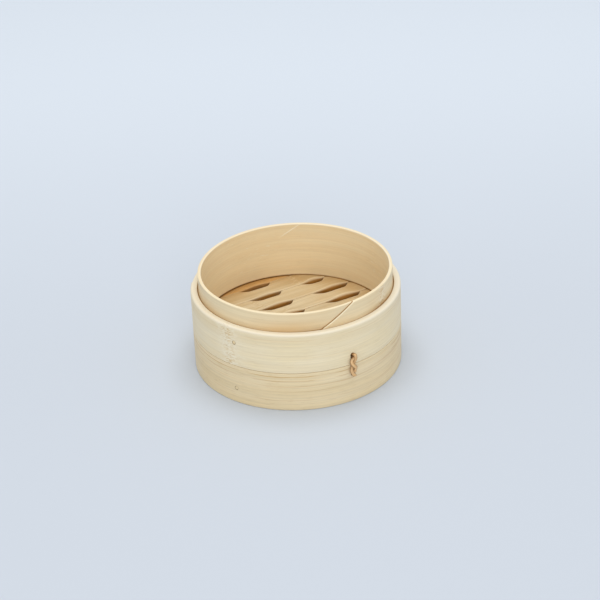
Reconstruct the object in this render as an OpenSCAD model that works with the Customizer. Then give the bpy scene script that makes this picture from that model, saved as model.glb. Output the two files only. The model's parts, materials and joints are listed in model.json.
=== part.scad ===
// Single tier of a bamboo steamer: two stacked outer bands, an inner ring that stands
// proud as a collar, a slotted slat floor on two crossbars, and one cane stitch.
// Origin at the centre of the base, +Z up. Azimuths run from the front (-Y) towards +X.

/* [Outer bands] */
// Outer diameter of both outer bands
base_d = 115; // [110:1:125]
// Wall thickness of the outer bands
band_t = 3.7; // [3.2:0.1:4]
// Height of the lower band
lower_h = 23; // [22:0.5:26]
// Height of the upper band
upper_h = 23.1; // [21:0.1:26]
// Radius of the rounded top edge of the upper band
ledge_round = 1.2; // [0.5:0.1:1.5]

/* [Inner ring] */
// Wall thickness of the ring at its collar
ring_t = 1.8; // [1.4:0.1:2.2]
// Play between the collar and the upper band
collar_gap = 0.8; // [0.6:0.1:1]
// Play between the flared foot of the ring and the upper band
foot_gap = 0.2; // [0.1:0.1:0.4]
// Height of the collar above the upper band
collar_h = 10.4; // [8:0.2:11]
// Azimuth where the diagonal lap of the ring meets the rim
lap_rim_azimuth = 34.6; // [32:0.1:37]
// Azimuth where the diagonal lap of the ring meets the ledge
lap_ledge_azimuth = 15.2; // [13:0.1:18]
// Depth of the step at the diagonal lap
lap_step = 0.6; // [0.3:0.1:0.8]

/* [Stacking socket] */
// Depth of the socket that receives the collar of the tier below
socket_depth = 12; // [11.5:0.1:12]
// Radius added to the lower band's bore where the socket is scraped out
socket_relief = 0.1; // [0.05:0.05:0.2]

/* [Floor] */
// Height of the floor's top surface above the base
floor_z = 23.3; // [23:0.1:24]
// Thickness of a slat
slat_t = 3; // [2.5:0.1:3.2]
// Thickness of the two end pieces
end_t = 1.9; // [1.5:0.1:2.4]
// Width of one slat and its joint
slat_pitch = 12.8; // [12:0.1:13]
// Gap between neighbouring slats
slat_gap = 0.16; // [0.1:0.02:0.3]
// Shift of the slat pattern across the slats
slat_shift = 0.8; // [0:0.1:1.5]
// Turn of the slats from the X axis
slat_turn = 30; // [0:1:60]

/* [Steam slots] */
// Depth of a slot's notch in the nearer slat
slot_depth = 3.2; // [2:0.1:3.6]
// Depth of a slot's shallow arc in the farther slat
slot_relief = 1.2; // [0.5:0.1:1.6]
// Length over which a slot opens at its left tip
slot_lead = 7.5; // [4:0.5:8]
// Length over which a slot closes at its right tip
slot_tail = 4.5; // [3:0.5:6]
// Clear width kept between a slot and the ring
slot_margin = 1.2; // [0.8:0.1:2]

/* [Crossbars and hoop] */
// Place of the right crossbar along the slats
right_bar_u = 16; // [14:0.5:18]
// Place of the left crossbar along the slats
left_bar_u = -19; // [-21:0.5:-17]
// Height of a crossbar
bar_h = 5; // [4:0.2:5.4]
// Radius of the rounded underside of a crossbar
bar_r = 3.4; // [3:0.1:3.6]
// Thickness of the support hoop
hoop_t = 2.4; // [2:0.1:2.6]

/* [Fastenings] */
// Azimuth of the cane stitch
stitch_azimuth = 30; // [25:1:35]
// Height of the stitch's upper hole
stitch_top_z = 28.4; // [27.5:0.1:30]
// Height of the stitch's lower hole
stitch_low_z = 17.4; // [16:0.1:17.6]
// Radius of the cane strand
cane_r = 1; // [0.8:0.05:1.05]
// Turns that the two strands make round each other
cane_turns = 1.5; // [1.5:1:2.5]
// Radius of a bamboo pin
pin_r = 1.1; // [0.8:0.1:1.2]
// Azimuth of the pins through the two outer bands
band_pin_azimuth = -36; // [-45:1:-30]
// Distance of a band pin from the seam between the bands
band_pin_rise = 14; // [10:0.5:15]

/* [Hidden] */
$fn = 96;

base_r = base_d / 2;
band_in_r = base_r - band_t;
socket_r = band_in_r + socket_relief;
ledge_z = lower_h + upper_h;
rim_z = ledge_z + collar_h;
collar_r = band_in_r - collar_gap;
ring_in_r = collar_r - ring_t;
ring_foot_r = band_in_r - foot_gap;
edge = 0.4;
rim_edge = 0.3;

slat_z = floor_z - slat_t;
slat_count = 7;
slat_r = band_in_r - 0.3;
first_joint = slat_shift - slat_count * slat_pitch / 2;
slot_columns = [[-48, -25], [-12, 9.5], [22.4, 46]];
slot_reach = ring_in_r - slot_margin;
shortest_slot = 10;
slot_steps = 20;

hoop_z = socket_depth + 0.5;
hoop_r = band_in_r - 0.2;
hoop_in_r = hoop_r - hoop_t;
bar_z = slat_z - bar_h;
bar_end_r = hoop_r - 0.3;
notch_play = 0.1;

hole_r = 2.2;
pin_play = 0.05;
hoop_pin_r = 1;
hoop_pin_bite = 2;
hoop_pin_z = hoop_z + 1.6;
hoop_pin_azimuths = [75, 165, 255, 345];

cane_sides = 8;
cane_pair = 1.07;
cane_bulge = 0.75;
cane_out_r = base_r + cane_r + cane_bulge + 0.1;
cane_in_r = ring_in_r - cane_r - 0.55;
twist_steps = 16;
cane_slot_half = 2.3;

pale = "#dfd0ac";
tan = "#d5bf97";
warm = "#d9bd88";
slat_tan = "#c5ad80";
cane_tan = "#c89f62";
dark_tan = "#a98754";

// A rise from 0 to 1 that starts steep and arrives level
function ease(t) = t <= 0 ? 0 : t >= 1 ? 1 : sin(90 * t);

// Points of a quarter circle of radius r about [x, z], from angle a0 to a1
function arc(x, z, r, a0, a1, steps = 6) =
    [for (i = [0:steps]) let (a = a0 + (a1 - a0) * i / steps) [x + r * cos(a), z + r * sin(a)]];

// Turns local X to point outwards at an azimuth, and local Y along the wall
module at_azimuth(azimuth) {
    rotate([0, 0, azimuth - 90]) children();
}

// Cylinder along local X between two distances from the axis
module radial_rod(r, from, to) {
    translate([from, 0, 0]) rotate([0, 90, 0]) cylinder(h = to - from, r = r, $fn = 32);
}

module stitch_holes(height, from, to) {
    at_azimuth(stitch_azimuth) translate([0, 0, height]) radial_rod(hole_r, from, to);
}

// ---- bands ----

module lower_band() {
    profile = concat(
        [[socket_r, edge], [socket_r + edge, 0], [base_r - edge, 0], [base_r, edge]],
        [[base_r, lower_h - edge / 2], [base_r - edge / 2, lower_h]],
        [[band_in_r, lower_h], [socket_r, socket_depth]]
    );
    color(tan) difference() {
        rotate_extrude($fn = 180) polygon(profile);
        stitch_holes(stitch_low_z, hoop_r - 1, base_r + 1);
        at_azimuth(band_pin_azimuth) translate([0, 0, lower_h - band_pin_rise])
            radial_rod(pin_r + pin_play, socket_r - 1, base_r + 1);
        for (azimuth = hoop_pin_azimuths)
            at_azimuth(azimuth) translate([0, 0, hoop_pin_z])
                radial_rod(hoop_pin_r + pin_play, hoop_r - 1, band_in_r + hoop_pin_bite + pin_play);
    }
}

module upper_band() {
    profile = concat(
        [[band_in_r, lower_h], [base_r - edge / 2, lower_h], [base_r, lower_h + edge / 2]],
        arc(base_r - ledge_round, ledge_z - ledge_round, ledge_round, 0, 90),
        [[band_in_r + edge, ledge_z], [band_in_r, ledge_z - edge]]
    );
    color(pale) difference() {
        rotate_extrude($fn = 180) polygon(profile);
        stitch_holes(stitch_top_z, ring_foot_r - 1, base_r + 1);
        at_azimuth(band_pin_azimuth) translate([0, 0, lower_h + band_pin_rise])
            radial_rod(pin_r + pin_play, ring_foot_r - 1, base_r + 1);
    }
}

// The ring is cylindrical inside. Outside it flares below the ledge to meet the band.
module inner_ring() {
    profile = [
        [ring_in_r, floor_z], [ring_foot_r, floor_z], [collar_r, ledge_z],
        [collar_r, rim_z - rim_edge], [collar_r - rim_edge, rim_z],
        [ring_in_r + rim_edge, rim_z], [ring_in_r, rim_z - rim_edge]
    ];
    color(warm) difference() {
        rotate_extrude($fn = 180) polygon(profile);
        stitch_holes(stitch_top_z, ring_in_r - 1, ring_foot_r + 1);
        lap_relief();
    }
}

// Thins the under layer of the collar beside its diagonal lap, so the over layer stands proud
module lap_relief() {
    spread = 35;
    middle = (lap_rim_azimuth + lap_ledge_azimuth) / 2;
    shift = lap_step / (1 - cos(spread));
    slope = atan(collar_h / (collar_r * (lap_rim_azimuth - lap_ledge_azimuth) * PI / 180));
    big = 60;
    at_azimuth(middle) difference() {
        translate([collar_r - 10, -big, ledge_z]) cube([20, 2 * big, collar_h + 1]);
        translate([-shift, 0, 0]) cylinder(r = collar_r - lap_step + shift, h = 2 * big, $fn = 180);
        translate([0, 0, ledge_z + collar_h / 2]) rotate([slope, 0, 0])
            translate([0, -big, -2 * big]) cube([2 * big, 2 * big, 2 * big]);
    }
}

module support_hoop() {
    color(dark_tan) difference() {
        translate([0, 0, hoop_z]) cylinder(h = slat_z - hoop_z, r = hoop_r, $fn = 180);
        translate([0, 0, hoop_z - 1]) cylinder(h = slat_z - hoop_z + 2, r = hoop_in_r, $fn = 180);
        for (u = [left_bar_u, right_bar_u])
            rotate([0, 0, slat_turn])
                translate([u - bar_r - notch_play, -base_r, bar_z - notch_play])
                    cube([2 * (bar_r + notch_play), 2 * base_r, bar_h + 1]);
        stitch_holes(stitch_low_z, hoop_in_r - 1, hoop_r + 1);
        for (azimuth = hoop_pin_azimuths)
            at_azimuth(azimuth) translate([0, 0, hoop_pin_z])
                radial_rod(hoop_pin_r + pin_play, hoop_in_r - 1, hoop_r + 1);
    }
}

// ---- floor ----

// Split bamboo: a flat top under the slats and a rounded underside
module crossbar(u) {
    color(dark_tan) intersection() {
        rotate([0, 0, slat_turn]) translate([u, 0, bar_z + bar_r]) rotate([90, 0, 0])
            cylinder(h = 2 * base_r, r = bar_r, center = true, $fn = 48);
        translate([0, 0, bar_z]) cylinder(h = bar_h, r = bar_end_r, $fn = 180);
    }
}

// Lower edge of a slot at u, seen as depth into the nearer slat
function slot_near(u, a, b) = -slot_depth * ease((u - a) / slot_lead) * ease((b - u) / slot_tail);

// Upper edge of a slot at u, a shallow arc into the farther slat
function slot_far(u, a, b) = slot_relief * sin(180 * (u - a) / (b - a));

function slot_outline(a, b) = let (step = (b - a) / slot_steps) concat(
    [for (i = [0:slot_steps]) [a + i * step, slot_near(a + i * step, a, b)]],
    [for (i = [slot_steps - 1:-1:1]) [a + i * step, slot_far(a + i * step, a, b)]]
);

// Cuts the slots of one joint. A column is left out where the ring leaves it too little room.
module slots_at(joint) {
    w = first_joint + joint * slat_pitch;
    reach = sqrt(pow(slot_reach, 2) - pow(w, 2));
    for (column = slot_columns) {
        a = max(column[0], -reach);
        b = min(column[1], reach);
        if (b - a > shortest_slot)
            translate([0, w, slat_z - 1]) linear_extrude(slat_t + 2) polygon(slot_outline(a, b));
    }
}

// Part of the floor disc between two distances across the slats
module floor_strip(near, far, thickness) {
    intersection() {
        translate([0, 0, slat_z]) cylinder(h = thickness, r = slat_r, $fn = 180);
        rotate([0, 0, slat_turn]) translate([-base_r, near, slat_z - 1])
            cube([2 * base_r, far - near, slat_t + 2]);
    }
}

module slat(index) {
    near = first_joint + (index - 1) * slat_pitch;
    color(slat_tan) difference() {
        floor_strip(near + slat_gap / 2, near + slat_pitch - slat_gap / 2, slat_t);
        rotate([0, 0, slat_turn]) {
            slots_at(index - 1);
            slots_at(index);
        }
    }
}

module end_slat_back() {
    color(dark_tan) difference() {
        floor_strip(first_joint + slat_count * slat_pitch + slat_gap / 2, base_r, end_t);
        rotate([0, 0, slat_turn]) slots_at(slat_count);
    }
}

module end_slat_front() {
    color(dark_tan) difference() {
        floor_strip(-base_r, first_joint - slat_gap / 2, end_t);
        rotate([0, 0, slat_turn]) slots_at(0);
        at_azimuth(stitch_azimuth) translate([cane_in_r - cane_r - 0.3, -cane_slot_half, slat_z - 1])
            cube([2 * cane_r + 0.6, 2 * cane_slot_half, slat_t + 2]);
    }
}

// ---- fastenings ----

// One twist of the strand outside the bands, from the upper hole down to the lower one
function twist_points(start) = [for (i = [0:twist_steps]) let (
        t = i / twist_steps,
        turn = start + 360 * cane_turns * t,
        swell = sin(180 * t)
    ) [
        cane_out_r + cane_bulge * sin(turn) * swell,
        -cane_pair * cos(turn),
        stitch_top_z + (stitch_low_z - stitch_top_z) * t
    ]];

// A straight run through a wall from one radius to another
function wall_run(side, height, from, to) = [for (x = [from, (from + to) / 2, to]) [x, side, height]];

// Route of the cane in local axes: tail, out, twist, in, up inside, out, twist, in, tail
function cane_route() = let (
        out_r = cane_out_r - 1.2,
        inset_r = cane_in_r + 0.9,
        middle_z = (stitch_top_z + stitch_low_z) / 2,
        lift = 0.9,
        right = cane_pair,
        left = -cane_pair
    ) concat(
        [[cane_in_r, left, middle_z + 2], [cane_in_r, left, stitch_top_z - lift]],
        wall_run(left, stitch_top_z, inset_r, out_r),
        twist_points(0),
        wall_run(right, stitch_low_z, out_r, inset_r),
        [for (t = [0, 0.5, 1]) [cane_in_r, right,
            stitch_low_z + lift + (stitch_top_z - stitch_low_z - 2 * lift) * t]],
        wall_run(right, stitch_top_z, inset_r, out_r),
        twist_points(180),
        wall_run(left, stitch_low_z, out_r, inset_r),
        [[cane_in_r, left, stitch_low_z + lift], [cane_in_r, left, middle_z - 2]]
    );

function unit(v) = v / norm(v);

// Corners of the strand's section at one point of a route
function section_at(route, i) = let (
        last = len(route) - 1,
        along = unit(route[min(i + 1, last)] - route[max(i - 1, 0)]),
        across = unit([0, 1, 0] - along * along[1]),
        up = cross(along, across)
    ) [for (k = [0:cane_sides - 1]) let (a = 360 * k / cane_sides)
        route[i] + cane_r * (cos(a) * across + sin(a) * up)];

// Closed tube that follows a route
module strand(route) {
    rings = len(route);
    points = [for (i = [0:rings - 1]) each section_at(route, i)];
    sides = [for (i = [0:rings - 2]) for (k = [0:cane_sides - 1]) let (n = (k + 1) % cane_sides)
        [i * cane_sides + k, i * cane_sides + n, (i + 1) * cane_sides + n, (i + 1) * cane_sides + k]];
    caps = [
        [for (k = [cane_sides - 1:-1:0]) k],
        [for (k = [0:cane_sides - 1]) (rings - 1) * cane_sides + k]
    ];
    polyhedron(points, concat(sides, caps), convexity = 10);
}

module cane_stitch() {
    color(cane_tan) at_azimuth(stitch_azimuth) strand(cane_route());
}

module upper_band_pin() {
    color(dark_tan) at_azimuth(band_pin_azimuth) translate([0, 0, lower_h + band_pin_rise])
        radial_rod(pin_r, band_in_r + pin_play, base_r - pin_play);
}

module lower_band_pin() {
    color(dark_tan) at_azimuth(band_pin_azimuth) translate([0, 0, lower_h - band_pin_rise])
        radial_rod(pin_r, socket_r + pin_play, base_r - pin_play);
}

module hoop_pins() {
    color(dark_tan) for (azimuth = hoop_pin_azimuths)
        at_azimuth(azimuth) translate([0, 0, hoop_pin_z])
            radial_rod(hoop_pin_r, hoop_in_r, band_in_r + hoop_pin_bite);
}

lower_band();
upper_band();
inner_ring();
support_hoop();
crossbar(left_bar_u);  // crossbar_left
crossbar(right_bar_u);  // crossbar_right
end_slat_front();
for (index = [1:slat_count])
    slat(index);
end_slat_back();
cane_stitch();
upper_band_pin();
lower_band_pin();
hoop_pins();
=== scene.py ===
import bpy
import json
import math
import numpy as np
from mathutils import Matrix, Vector


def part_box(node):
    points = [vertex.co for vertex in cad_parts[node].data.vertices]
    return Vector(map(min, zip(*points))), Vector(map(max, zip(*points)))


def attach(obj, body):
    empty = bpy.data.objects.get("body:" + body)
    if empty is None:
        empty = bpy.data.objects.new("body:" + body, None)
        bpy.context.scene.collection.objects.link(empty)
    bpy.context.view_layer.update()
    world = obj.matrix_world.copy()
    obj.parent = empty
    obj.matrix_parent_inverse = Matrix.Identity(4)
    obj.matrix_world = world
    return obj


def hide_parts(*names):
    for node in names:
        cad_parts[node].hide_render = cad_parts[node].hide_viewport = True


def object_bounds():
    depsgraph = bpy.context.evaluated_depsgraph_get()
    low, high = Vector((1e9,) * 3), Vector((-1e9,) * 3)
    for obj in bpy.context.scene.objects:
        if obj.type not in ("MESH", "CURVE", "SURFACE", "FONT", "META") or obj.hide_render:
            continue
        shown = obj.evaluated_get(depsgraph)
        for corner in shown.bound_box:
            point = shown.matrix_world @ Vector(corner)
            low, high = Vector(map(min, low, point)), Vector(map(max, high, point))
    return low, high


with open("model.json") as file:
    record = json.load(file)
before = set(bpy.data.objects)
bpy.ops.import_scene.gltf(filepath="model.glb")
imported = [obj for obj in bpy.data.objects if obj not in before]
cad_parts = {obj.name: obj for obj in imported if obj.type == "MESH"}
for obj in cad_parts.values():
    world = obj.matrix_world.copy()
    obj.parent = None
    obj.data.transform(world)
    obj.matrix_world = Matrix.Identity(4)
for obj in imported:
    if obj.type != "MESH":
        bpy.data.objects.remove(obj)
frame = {"nodes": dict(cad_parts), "record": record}
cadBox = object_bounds()
mm = 0.001


# Sizes that the frame already holds, in metres.
def radiiOf(node):
    # nearest and farthest distance of a node's points from the upright axis
    mesh = frame["nodes"][node].data
    points = np.empty(len(mesh.vertices) * 3)
    mesh.vertices.foreach_get("co", points)
    distance = np.hypot(points[0::3], points[1::3])
    return distance.min(), distance.max()


def mountRadius(name):
    found = [mount for mount in frame["record"]["mounts"] if mount["name"] == name]
    return found[0]["dims"]["r_mm"] * mm


baseR = cadBox[1].x
bandInR = radiiOf("upper_band")[0]
ringInR, ringFootR = radiiOf("inner_ring")
collarR = mountRadius("rim_collar")
socketR = mountRadius("stacking_socket")
hoopInR, hoopOutR = radiiOf("support_hoop")
slatR = radiiOf("slat_4")[1]
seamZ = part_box("upper_band")[0].z
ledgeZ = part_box("upper_band")[1].z
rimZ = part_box("inner_ring")[1].z
slatLow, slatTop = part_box("slat_4")[0].z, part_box("slat_4")[1].z
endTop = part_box("end_slat_back")[1].z
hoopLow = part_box("support_hoop")[0].z
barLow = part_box("crossbar_left")[0].z
print("sizes read from the frame")


# Shader maths: a Value wraps a socket, and arithmetic on it adds Math nodes. Its add method makes
# every other node. A Value without a socket stands for the tree itself.
class Value:
    def __init__(self, tree, socket=None):
        self.tree = tree
        self.socket = socket

    def add(self, kind, settings=None, inputs=None, output=0):
        # one node: its settings first, then the values or links of its sockets
        node = self.tree.nodes.new(kind)
        for name, value in (settings or {}).items():
            setattr(node, name, value)
        for name, value in (inputs or {}).items():
            if isinstance(value, Value):
                self.tree.links.new(value.socket, node.inputs[name])
            else:
                node.inputs[name].default_value = value
        return Value(self.tree, node.outputs[output]) if node.outputs else node

    def maths(self, operation, first, second):
        return self.add("ShaderNodeMath", {"operation": operation}, {0: first, 1: second})

    def __add__(self, other):
        return self.maths("ADD", self, other)

    def __sub__(self, other):
        return self.maths("SUBTRACT", self, other)

    def __rsub__(self, other):
        return self.maths("SUBTRACT", other, self)

    def __mul__(self, other):
        return self.maths("MULTIPLY", self, other)

    def __abs__(self):
        return self.maths("ABSOLUTE", self, 0)

    __radd__ = __add__
    __rmul__ = __mul__


def newMaterial(name):
    material = bpy.data.materials.new(name)
    material.use_nodes = True
    material.node_tree.nodes.clear()
    return material, Value(material.node_tree)


def addShader(tree, inputs):
    shader = tree.add("ShaderNodeBsdfPrincipled", {}, inputs)
    tree.add("ShaderNodeOutputMaterial", {}, {"Surface": shader})


def linear(hexColour):
    # screen colour such as dfd0ac as linear light
    parts = [int(hexColour[i:i + 2], 16) / 255 for i in (0, 2, 4)]
    return [p / 12.92 if p < 0.04045 else ((p + 0.055) / 1.055) ** 2.4 for p in parts] + [1]


def mixColour(tree, factor, first, second, blend="MIX"):
    # sockets 6 and 7 and output 2 are the Mix node's colour ones
    settings = {"data_type": "RGBA", "blend_type": blend}
    return tree.add("ShaderNodeMix", settings, {0: factor, 6: first, 7: second}, 2)


def between(value, low, high, fromLow=0.0, toHigh=1.0):
    # smooth step: fromLow below low, toHigh above high
    settings = {"interpolation_type": "SMOOTHSTEP"}
    inputs = {"Value": value, "From Min": low, "From Max": high, "To Min": fromLow, "To Max": toHigh}
    return value.add("ShaderNodeMapRange", settings, inputs)


def attribute(tree, name, output="Fac"):
    return tree.add("ShaderNodeAttribute", {"attribute_name": name}, {}, output)


def objectPlace(tree):
    return tree.add("ShaderNodeTexCoord", {}, {}, "Object")


def streaks(tree, grain, along, across, detail=2.0, seed=0.0, distort=0.0):
    # noise drawn out along the fibres: along and across are cells per metre
    stretched = tree.add("ShaderNodeVectorMath", {"operation": "MULTIPLY"},
                         {0: grain, 1: (along, along, across)})
    moved = tree.add("ShaderNodeVectorMath", {"operation": "ADD"},
                     {0: stretched, 1: (seed, seed * 2, seed * 3)})
    return tree.add("ShaderNodeTexNoise", {}, {"Vector": moved, "Scale": 1.0, "Detail": detail,
                                               "Roughness": 0.55, "Distortion": distort})


# The bamboo's noises: cells per metre along and across the fibres, detail, what is added to the
# look's seed, and distortion.
bambooNoise = {
    "patches": (30, 60, 2, 3, 0), "fibres": (45, 2900, 2, 5, 0), "threads": (12, 950, 2, 7, 0),
    "dashes": (150, 2500, 1, 9, 0), "lines": (5, 430, 1, 13, 0), "breaks": (38, 20, 2, 31, 0),
    "ragged": (160, 420, 3, 19, 0), "flakes": (300, 1150, 2, 17, 1.2), "flecks": (230, 1500, 1, 41, 0),
    "pores": (900, 2300, 1, 23, 0),
}


def bambooFinish(name, look):
    # Planed bamboo: wide soft bands of colour, fine fibres, short brown dashes of the vascular
    # bundles, pale edges (worn, and partly a painted highlight), a flaky band at a node, darker sawn or inner
    # faces, and painted shade in gaps, cracks, holes and near other parts.
    material, tree = newMaterial(name)
    grain = attribute(tree, "grain", "Vector")
    wide = streaks(tree, grain, look["wideAlong"], look["wideAcross"], 2.0, look["seed"])
    noise = {key: streaks(tree, grain, along, across, detail, look["seed"] + extra, distort)
             for key, (along, across, detail, extra, distort) in bambooNoise.items()}
    patches, fibres, threads = noise["patches"], noise["fibres"], noise["threads"]

    colour = mixColour(tree, between(wide, 0.3, 0.7), linear(look["dark"]), linear(look["light"]))
    colour = mixColour(tree, between(patches, 0.4, 0.75) * look["patch"], colour, linear(look["patchAndShadeTint"]))
    fineTone = between(fibres, 0.3, 0.7) * look["fibre"] + (1 - look["fibre"] / 2)
    threadTone = between(threads, 0.32, 0.68) * look["thread"] + (1 - look["thread"] / 2)
    tone = fineTone * threadTone
    toneColour = tree.add("ShaderNodeCombineColor", {}, {"Red": tone, "Green": tone, "Blue": tone})
    colour = mixColour(tree, 1.0, colour, toneColour, "MULTIPLY")
    dashMask = between(noise["dashes"], 0.60, 0.70) * look["dash"] * between(patches, 0.3, 0.6, 0.35, 1.0)
    colour = mixColour(tree, dashMask, colour, linear(look["dashColour"]))

    # long thin darker lines of the fibre, and the few that the look places by height in mm
    lines = between(noise["lines"], 0.64, 0.76) * look["line"]
    height = tree.add("ShaderNodeSeparateXYZ", {}, {0: objectPlace(tree)}, "Z")
    breaks = noise["breaks"]
    for place, share in look["placedLines"]:
        offset = abs(height + breaks * (1.2 * mm) - (place + 0.6) * mm)
        thin = 1 - between(offset, 0.1 * mm, 0.42 * mm)
        lines = lines + thin * between(breaks, 0.36, 0.56, 0.15, 1.0) * share
    colour = mixColour(tree, lines, colour, linear(look["lineColour"]))
    # painted warm shade and bounce light, laid on where a piece lies close to other parts
    colour = mixColour(tree, attribute(tree, "warmth") * look["warm"], colour, linear(look["patchAndShadeTint"]))

    # a node is a ragged band across the fibres, full of short bright and dark flakes
    distance = abs(attribute(tree, "nodeDistance") + (noise["ragged"] - 0.5) * (5.0 * mm))
    nodeBand = 1 - between(distance, 0.6 * mm, look["nodeWidth"] * mm)
    flakeMask = nodeBand * between(noise["flakes"], 0.47, 0.58) * look["node"]
    colour = mixColour(tree, flakeMask, colour, linear(look["flake"]))
    darkBand = 1 - between(distance, 0.8 * mm, 4.6 * mm)
    darkFlakes = darkBand * (1 - between(noise["flakes"], 0.38, 0.5)) * look["nodeLine"]
    colour = mixColour(tree, darkFlakes, colour, linear(look["lineColour"]))
    flecks = between(noise["flecks"], 0.66, 0.74) * between(patches, 0.5, 0.62)
    colour = mixColour(tree, flecks * look["fleck"], colour, linear(look["edge"]))

    # pale edges: worn, and partly a painted highlight where light catches them
    wearAndHighlight = attribute(tree, "arris") * between(wide, 0.2, 0.7, 0.6, 1.0) * look["wearAndHighlight"]
    colour = mixColour(tree, wearAndHighlight, colour, linear(look["edge"]))
    # darker sawn faces, and painted shade in gaps, cracks and holes
    sawnAndShaded = attribute(tree, "sawnAndShaded")
    colour = mixColour(tree, sawnAndShaded * look["sawnAndShadedShare"], colour, linear(look["sawnAndShaded"]))

    relief = (fibres * 0.5 + threads * 0.5 + dashMask * -0.8 + flakeMask * 0.9 + darkFlakes * -0.6
              + noise["pores"] * 0.15)
    bump = tree.add("ShaderNodeBump", {}, {"Strength": look["bump"], "Distance": 0.12 * mm, "Height": relief})
    rough = fibres * 0.12 + patches * 0.1 + sawnAndShaded * 0.15 + look["rough"]
    addShader(tree, {"Base Color": colour, "Roughness": rough, "Normal": bump,
                     "Specular IOR Level": look["gloss"]})
    return material


plainLook = {
    "seed": 1.0, "dark": "e8d9b6", "light": "efe3c6", "patchAndShadeTint": "e6d3a4", "wideAlong": 2.4, "wideAcross": 150.0,
    "patch": 0.35, "fibre": 0.06, "thread": 0.06, "dash": 0.14, "dashColour": "b3905c", "line": 0.16,
    "lineColour": "c9a468", "placedLines": [], "warm": 0.0, "node": 0.0, "nodeLine": 0.0, "nodeWidth": 3.6,
    "flake": "f6efdc", "fleck": 0.0, "wearAndHighlight": 0.5, "edge": "f1ebd8", "sawnAndShaded": "b98f55", "sawnAndShadedShare": 0.8,
    "bump": 0.35, "rough": 0.42, "gloss": 0.4,
}
looks = {
    "upperBamboo": {**plainLook, "seed": 2.0, "dark": "e7d6b1", "light": "eddfbf", "edge": "e6decc",
                    "node": 0.42, "nodeLine": 0.5, "nodeWidth": 13.0, "wearAndHighlight": 0.8,
                    "placedLines": [(42.6, 0.22), (33.5, 0.12)]},
    "lowerBamboo": {**plainLook, "seed": 11.0, "dark": "e0cca4", "light": "e8d6b2", "patchAndShadeTint": "dec594",
                    "dash": 0.22, "line": 0.3, "thread": 0.09, "edge": "e8d8b4", "lineColour": "bd9350",
                    "placedLines": [(20.6, 0.6), (18.0, 0.45), (14.6, 0.25), (6.2, 0.22)]},
    "ringOuterBamboo": {**plainLook, "seed": 23.0, "dark": "e6d3ac", "light": "ecdcb8", "patchAndShadeTint": "d8ae72",
                        "edge": "f6e9c8", "wearAndHighlight": 0.95, "dash": 0.1, "line": 0.15, "warm": 0.6,
                        "sawnAndShaded": "a06f2c", "sawnAndShadedShare": 0.95, "node": 0.4, "nodeLine": 0.6, "nodeWidth": 7.5},
    "ringInnerBamboo": {**plainLook, "seed": 29.0, "dark": "ecd7af", "light": "f1e0bb", "patchAndShadeTint": "ead2a5",
                        "edge": "f6efdc", "wearAndHighlight": 0.9, "dash": 0.12, "line": 0.05, "fibre": 0.05,
                        "thread": 0.04, "sawnAndShaded": "8e6426", "sawnAndShadedShare": 0.95, "fleck": 0.5},
    "slatBamboo": {**plainLook, "seed": 37.0, "dark": "c6af86", "light": "d4c19c", "patchAndShadeTint": "bb9254",
                   "warm": 0.6, "wideAlong": 8.0, "wideAcross": 260.0, "patch": 0.3, "fibre": 0.09,
                   "thread": 0.09, "dash": 0.25, "line": 0.18, "lineColour": "b08c56", "edge": "ead9b6",
                   "wearAndHighlight": 0.6, "sawnAndShaded": "a06c26", "sawnAndShadedShare": 1.0, "rough": 0.5, "node": 0.35,
                   "nodeLine": 0.35, "flake": "e2d0aa"},
    "brownBamboo": {**plainLook, "seed": 51.0, "dark": "c59656", "light": "d4ab70", "patchAndShadeTint": "c09356",
                    "fibre": 0.14, "thread": 0.16, "dash": 0.35, "dashColour": "8a5f2e", "edge": "d8b888",
                    "sawnAndShaded": "a86e2e", "rough": 0.55},
    "pinBamboo": {**plainLook, "seed": 67.0, "dark": "dcc596", "light": "e4d0a6", "patchAndShadeTint": "d6bb86",
                  "dash": 0.5, "dashColour": "a98550", "sawnAndShaded": "6e4720", "sawnAndShadedShare": 1.0, "rough": 0.6},
}
finishes = {name: bambooFinish(name, look) for name, look in looks.items()}
print("bamboo finishes made")

caneLook = {"light": "e4be8a", "dark": "cfa068", "caneShade": "74471a"}
boreLook = {"light": "94652e", "dark": "6b431c"}


def caneFinish(name, look):
    # split cane: glossy skin with fine lengthwise lines, and painted shade where it meets the wall and the
    # holes and along its edges
    material, tree = newMaterial(name)
    grain = attribute(tree, "grain", "Vector")
    lines = streaks(tree, grain, 60.0, 2600.0, 2.0, 4.0)
    blots = streaks(tree, grain, 300.0, 500.0, 2.0, 8.0)
    colour = mixColour(tree, between(lines, 0.3, 0.7), linear(look["dark"]), linear(look["light"]))
    colour = mixColour(tree, between(blots, 0.5, 0.75) * 0.3, colour, linear(look["dark"]))
    # painted shade towards the wall and the holes and along the cane's edges
    colour = mixColour(tree, attribute(tree, "sawnAndShaded") * 0.75, colour, linear(look["caneShade"]))
    bump = tree.add("ShaderNodeBump", {}, {"Strength": 0.5, "Distance": 0.1 * mm, "Height": lines})
    addShader(tree, {"Base Color": colour, "Roughness": lines * 0.1 + 0.34, "Normal": bump})
    return material


def boreFinish(name, look):
    # wall of a drilled hole, in mottled dark brown: painted shade in the hole
    material, tree = newMaterial(name)
    mottle = tree.add("ShaderNodeTexNoise", {}, {"Vector": objectPlace(tree), "Scale": 1400.0, "Detail": 2.0})
    colour = mixColour(tree, between(mottle, 0.35, 0.65), linear(look["dark"]), linear(look["light"]))
    addShader(tree, {"Base Color": colour, "Roughness": 0.8})
    return material


finishes["caneSkin"] = caneFinish("caneSkin", caneLook)
finishes["paintedBoreShade"] = boreFinish("paintedBoreShade", boreLook)


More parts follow.
